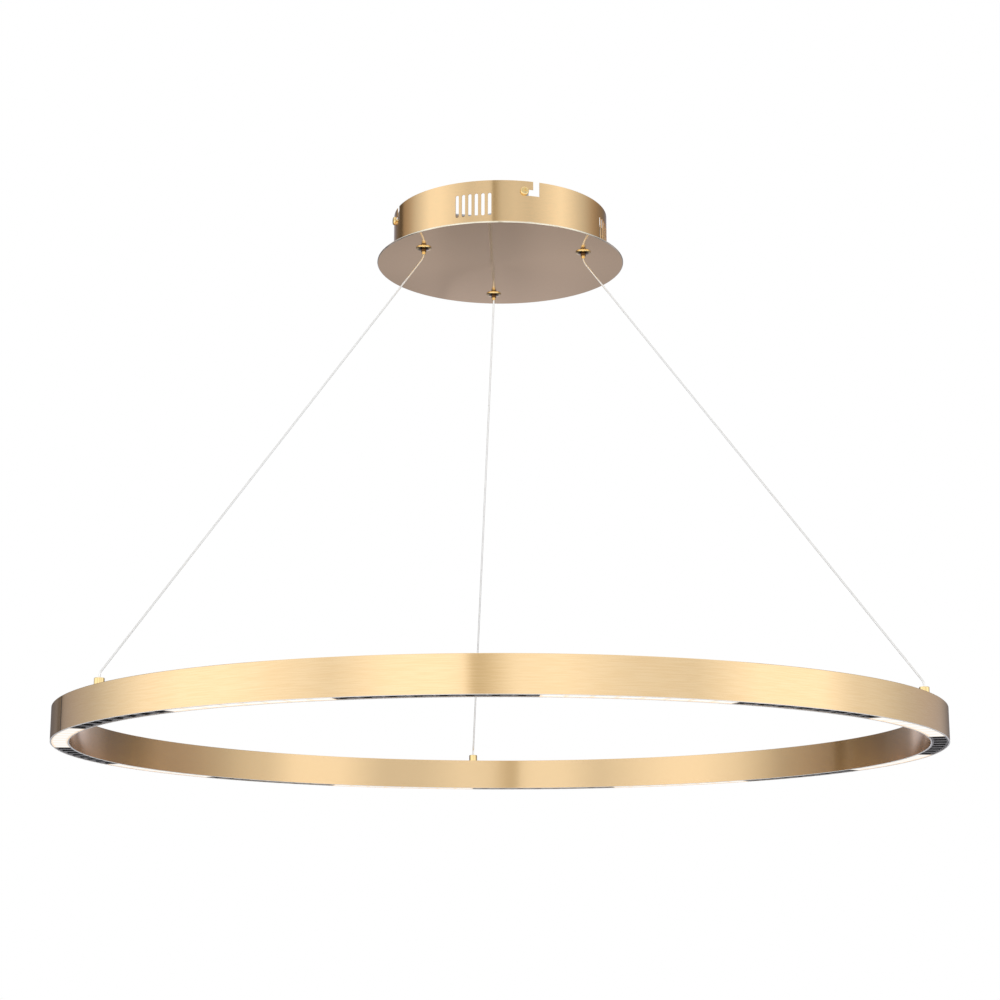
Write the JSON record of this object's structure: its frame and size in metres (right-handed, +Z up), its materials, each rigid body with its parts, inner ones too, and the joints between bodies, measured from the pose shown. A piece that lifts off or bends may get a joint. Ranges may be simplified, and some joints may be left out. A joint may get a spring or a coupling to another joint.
{
  "type": "led pendant light",
  "caption": "Ring pendant lamp: a gold channel ring of lit and black louvred segments, hung on thin cables from a vented drum canopy.",
  "frame": {"origin": "centre of the ceiling bracket's upper face, on the ceiling's plane", "axes": "+Z up, into the ceiling; one suspension cable lies towards +Y, so -Y is the front"},
  "size_m": [0.8, 0.7999, 0.512],
  "materials": {
    "ring_gold": "brushed, gold anodised",
    "canopy_gold": "brushed gold plate",
    "polished_gold": "polished gold",
    "zinc_steel": "zinc plated",
    "spring_steel": "drawn",
    "bare_aluminium": "mill finish",
    "steel_cable": "twisted strands in a clear sheath",
    "opal_lit": "opal, lit",
    "black_louvre": "black, satin",
    "led_board_white": "white solder mask",
    "led_yellow": "phosphor",
    "driver_white": "moulded, fine grain",
    "circuit_board": "solder mask",
    "nylon": "natural nylon",
    "lead_brown": "PVC sheath",
    "lead_red": "PVC sheath",
    "lead_green": "PVC sheath"
  },
  "bodies": {
    "bracket": {"ceiling_bracket": "zinc_steel"},
    "canopy": {"canopy_drum": "canopy_gold", "canopy_plate": "canopy_gold", "plate_nuts": "zinc_steel", "gripper_washers": "zinc_steel", "gripper_nuts": "zinc_steel", "cable_tails": "steel_cable", "tail_crimps": "nylon", "driver_case": "driver_white", "driver_cover": "driver_white", "driver_board": "circuit_board", "terminal_block": "nylon", "terminal_screws": "zinc_steel", "input_leads": "lead_brown", "output_leads": "lead_red", "earth_lead": "lead_green", "gripper_body_1": "polished_gold", "gripper_spring_1": "spring_steel", "suspension_cable_1": "steel_cable", "gripper_body_2": "polished_gold", "gripper_spring_2": "spring_steel", "suspension_cable_2": "steel_cable", "gripper_body_3": "polished_gold", "gripper_spring_3": "spring_steel", "suspension_cable_3": "steel_cable"},
    "ring": {"ring_housing": "ring_gold", "ring_splice": "bare_aluminium", "splice_screws": "zinc_steel", "led_boards": "led_board_white", "led_chips": "led_yellow", "board_links": "nylon", "feed_leads": "lead_red", "ring_ferrules": "polished_gold", "ferrule_nuts": "zinc_steel", "cable_ends": "steel_cable", "cable_stops": "bare_aluminium", "diffuser_1": "opal_lit", "diffuser_2": "opal_lit", "diffuser_3": "opal_lit", "diffuser_4": "opal_lit", "diffuser_5": "opal_lit", "diffuser_6": "opal_lit", "diffuser_7": "opal_lit", "diffuser_8": "opal_lit", "louvre_1": "black_louvre", "louvre_2": "black_louvre", "louvre_3": "black_louvre", "louvre_4": "black_louvre", "louvre_5": "black_louvre", "louvre_6": "black_louvre", "louvre_7": "black_louvre", "louvre_8": "black_louvre"},
    "side_screw_1": {"side_screw_1": "polished_gold"},
    "side_screw_2": {"side_screw_2": "polished_gold"},
    "side_screw_3": {"side_screw_3": "polished_gold"},
    "side_screw_4": {"side_screw_4": "polished_gold"},
    "plunger_1": {"gripper_plunger_1": "polished_gold"},
    "plunger_2": {"gripper_plunger_2": "polished_gold"},
    "plunger_3": {"gripper_plunger_3": "polished_gold"}
  },
  "joints": [
    {"name": "canopy_twist", "type": "hinge", "parent": "bracket", "child": "canopy", "pos_m": [0, 0, 0], "axis": [0, 0, 1], "range_deg": [-6.4, 0]},
    {"name": "ring_height", "type": "slide", "parent": "canopy", "child": "ring", "axis": [0, 0, 1], "range_m": [0, 0.2], "deforming": ["suspension_cable_1", "suspension_cable_2", "suspension_cable_3"]},
    {"name": "plunger_1_press", "type": "slide", "parent": "canopy", "child": "plunger_1", "axis": [0, 0, 1], "range_m": [0, 0.0018], "stiffness_N_per_m": 800, "springref_m": -0.001, "deforming": ["gripper_spring_1"]},
    {"name": "plunger_2_press", "type": "slide", "parent": "canopy", "child": "plunger_2", "axis": [0, 0, 1], "range_m": [0, 0.0018], "stiffness_N_per_m": 800, "springref_m": -0.001, "deforming": ["gripper_spring_2"]},
    {"name": "plunger_3_press", "type": "slide", "parent": "canopy", "child": "plunger_3", "axis": [0, 0, 1], "range_m": [0, 0.0018], "stiffness_N_per_m": 800, "springref_m": -0.001, "deforming": ["gripper_spring_3"]},
    {"name": "side_screw_1_turn", "type": "hinge", "parent": "bracket", "child": "side_screw_1", "pos_m": [0.09462, 0.01363, -0.01055], "axis": [0.9898, 0.1426, 0], "range_deg": [0, 495]},
    {"name": "side_screw_2_turn", "type": "hinge", "parent": "bracket", "child": "side_screw_2", "pos_m": [-0.01363, 0.09462, -0.01055], "axis": [-0.1426, 0.9898, 0], "range_deg": [0, 495]},
    {"name": "side_screw_3_turn", "type": "hinge", "parent": "bracket", "child": "side_screw_3", "pos_m": [-0.09462, -0.01363, -0.01055], "axis": [-0.9898, -0.1426, 0], "range_deg": [0, 495]},
    {"name": "side_screw_4_turn", "type": "hinge", "parent": "bracket", "child": "side_screw_4", "pos_m": [0.01363, -0.09462, -0.01055], "axis": [0.1426, -0.9898, 0], "range_deg": [0, 495]}
  ]
}
